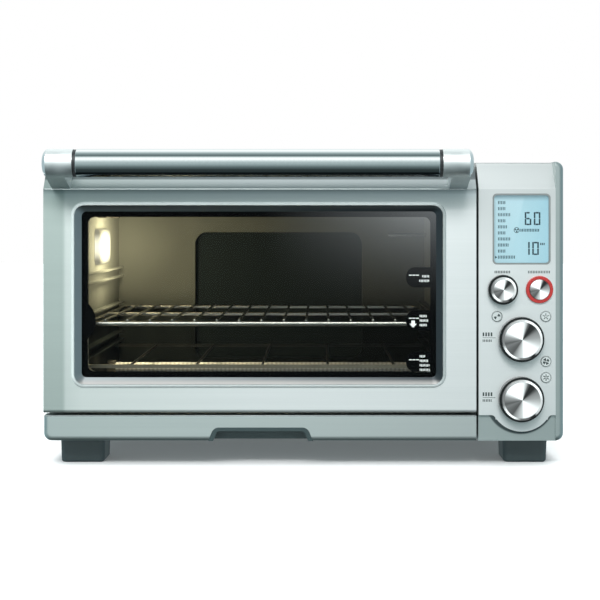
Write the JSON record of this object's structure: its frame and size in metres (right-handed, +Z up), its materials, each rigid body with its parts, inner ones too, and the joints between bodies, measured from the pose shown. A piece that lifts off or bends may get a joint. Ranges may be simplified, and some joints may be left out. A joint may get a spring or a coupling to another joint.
{
  "type": "toaster oven",
  "caption": "Countertop convection toaster oven with a drop-down glass door, bar handle, wire rack, crumb tray and a side control panel with a display, knobs and buttons.",
  "frame": {"origin": "centre of the overall footprint, on the surface that the feet stand on", "axes": "+Z up, -Y to the front where the door is, +X to the control panel's side"},
  "size_m": [0.47, 0.39, 0.2845],
  "materials": {
    "case_steel": "fine horizontal brush",
    "door_steel": "fine horizontal brush",
    "fascia_steel": "light satin brush",
    "housing_steel": "satin",
    "tray_steel": "satin",
    "handle_polished": "polished",
    "handle_satin": "satin cast",
    "knob_metal": "spun",
    "black_plastic": "fine texture",
    "grip_plastic": "fine texture",
    "foot_rubber": "matt",
    "gasket_rubber": "matt",
    "door_glass": "tinted",
    "lamp_glass": "frosted",
    "quartz": "frosted quartz",
    "ceramic": "unglazed",
    "cavity_enamel": "dark low-gloss coating",
    "liner_steel": "plain",
    "zinc_steel": "galvanised",
    "rack_chrome": "plated wire",
    "guard_wire": "heat tinted",
    "lcd_glass": "clear",
    "lcd_panel": "backlit",
    "red_ring": "translucent",
    "button_plastic": "satin",
    "board_green": "solder mask",
    "magnet": "nickel"
  },
  "bodies": {
    "oven": {"base_pan": "zinc_steel", "top_cover": "case_steel", "left_side_panel": "case_steel", "right_side_panel": "case_steel", "rear_panel": "zinc_steel", "rear_bump_cover": "zinc_steel", "front_frame": "liner_steel", "panel_divider": "zinc_steel", "feet": "foot_rubber", "case_screws": "zinc_steel", "cord_gland": "black_plastic", "cavity_top_wall": "cavity_enamel", "cavity_left_wall": "cavity_enamel", "cavity_right_wall": "cavity_enamel", "cavity_back_wall": "cavity_enamel", "rack_guides": "cavity_enamel", "quartz_heaters": "quartz", "heater_holders": "ceramic", "lower_heater_guard": "guard_wire", "lamp_housing": "zinc_steel", "lamp_bulb": "lamp_glass", "lamp_lens": "lamp_glass", "temperature_probe": "liner_steel", "fan_shroud": "zinc_steel", "fan_motor": "zinc_steel", "control_fascia": "fascia_steel", "control_housing": "housing_steel", "lcd_bezel": "black_plastic", "lcd_window": "lcd_glass", "lcd_module": "lcd_panel", "control_board": "board_green", "rotary_encoders": "black_plastic", "button_switches": "black_plastic", "knob_collars": "black_plastic", "start_ring": "red_ring", "hinge_brackets": "zinc_steel", "tray_guides": "zinc_steel"},
    "door": {"door_panel": "door_steel", "door_glass": "door_glass", "door_liner": "liner_steel", "door_gasket": "gasket_rubber", "handle_tube": "handle_polished", "handle_collars": "black_plastic", "handle_bracket_left": "handle_satin", "handle_bracket_right": "handle_satin", "hinge_pins": "zinc_steel", "rack_magnets": "magnet"},
    "rack": {"wire_rack": "rack_chrome"},
    "crumb_tray": {"tray_front": "tray_steel", "tray_grip": "grip_plastic", "tray_pan": "liner_steel"},
    "fan": {"fan_impeller": "zinc_steel"},
    "function_knob": {"function_knob": "knob_metal"},
    "temperature_knob": {"temperature_knob": "knob_metal"},
    "time_knob": {"time_knob": "knob_metal"},
    "start_button": {"start_button": "knob_metal"},
    "reheat_button": {"reheat_button": "button_plastic"},
    "lamp_button": {"lamp_button": "button_plastic"},
    "convection_button": {"convection_button": "button_plastic"},
    "frozen_button": {"frozen_button": "button_plastic"}
  },
  "joints": [
    {"name": "door_hinge", "type": "hinge", "parent": "oven", "child": "door", "pos_m": [0, -0.1425, 0.0556], "axis": [1, 0, 0], "range_deg": [0, 90]},
    {"name": "rack_slide", "type": "slide", "parent": "oven", "child": "rack", "axis": [0, -1, 0], "range_m": [0, 0.12]},
    {"name": "crumb_tray_slide", "type": "slide", "parent": "oven", "child": "crumb_tray", "axis": [0, -1, 0], "range_m": [0, 0.18]},
    {"name": "fan_spin", "type": "hinge", "parent": "oven", "child": "fan", "pos_m": [0.14, 0.04, 0.148], "axis": [1, 0, 0], "continuous": true},
    {"name": "function_knob_turn", "type": "hinge", "parent": "oven", "child": "function_knob", "pos_m": [0.1797, -0.1485, 0.1594], "axis": [0, 1, 0], "continuous": true},
    {"name": "temperature_knob_turn", "type": "hinge", "parent": "oven", "child": "temperature_knob", "pos_m": [0.1961, -0.1485, 0.1147], "axis": [0, 1, 0], "continuous": true},
    {"name": "time_knob_turn", "type": "hinge", "parent": "oven", "child": "time_knob", "pos_m": [0.1961, -0.1485, 0.0607], "axis": [0, 1, 0], "continuous": true},
    {"name": "start_button_press", "type": "slide", "parent": "oven", "child": "start_button", "axis": [0, 1, 0], "range_m": [0, 0.0012], "stiffness_N_per_m": 700},
    {"name": "reheat_button_press", "type": "slide", "parent": "oven", "child": "reheat_button", "axis": [0, 1, 0], "range_m": [0, 0.0012], "stiffness_N_per_m": 700},
    {"name": "lamp_button_press", "type": "slide", "parent": "oven", "child": "lamp_button", "axis": [0, 1, 0], "range_m": [0, 0.0012], "stiffness_N_per_m": 700},
    {"name": "convection_button_press", "type": "slide", "parent": "oven", "child": "convection_button", "axis": [0, 1, 0], "range_m": [0, 0.0012], "stiffness_N_per_m": 700},
    {"name": "frozen_button_press", "type": "slide", "parent": "oven", "child": "frozen_button", "axis": [0, 1, 0], "range_m": [0, 0.0012], "stiffness_N_per_m": 700}
  ],
  "couplings": [
    {"joint": "rack_slide", "follows": "door_hinge", "m_per_rad": 0.076}
  ]
}
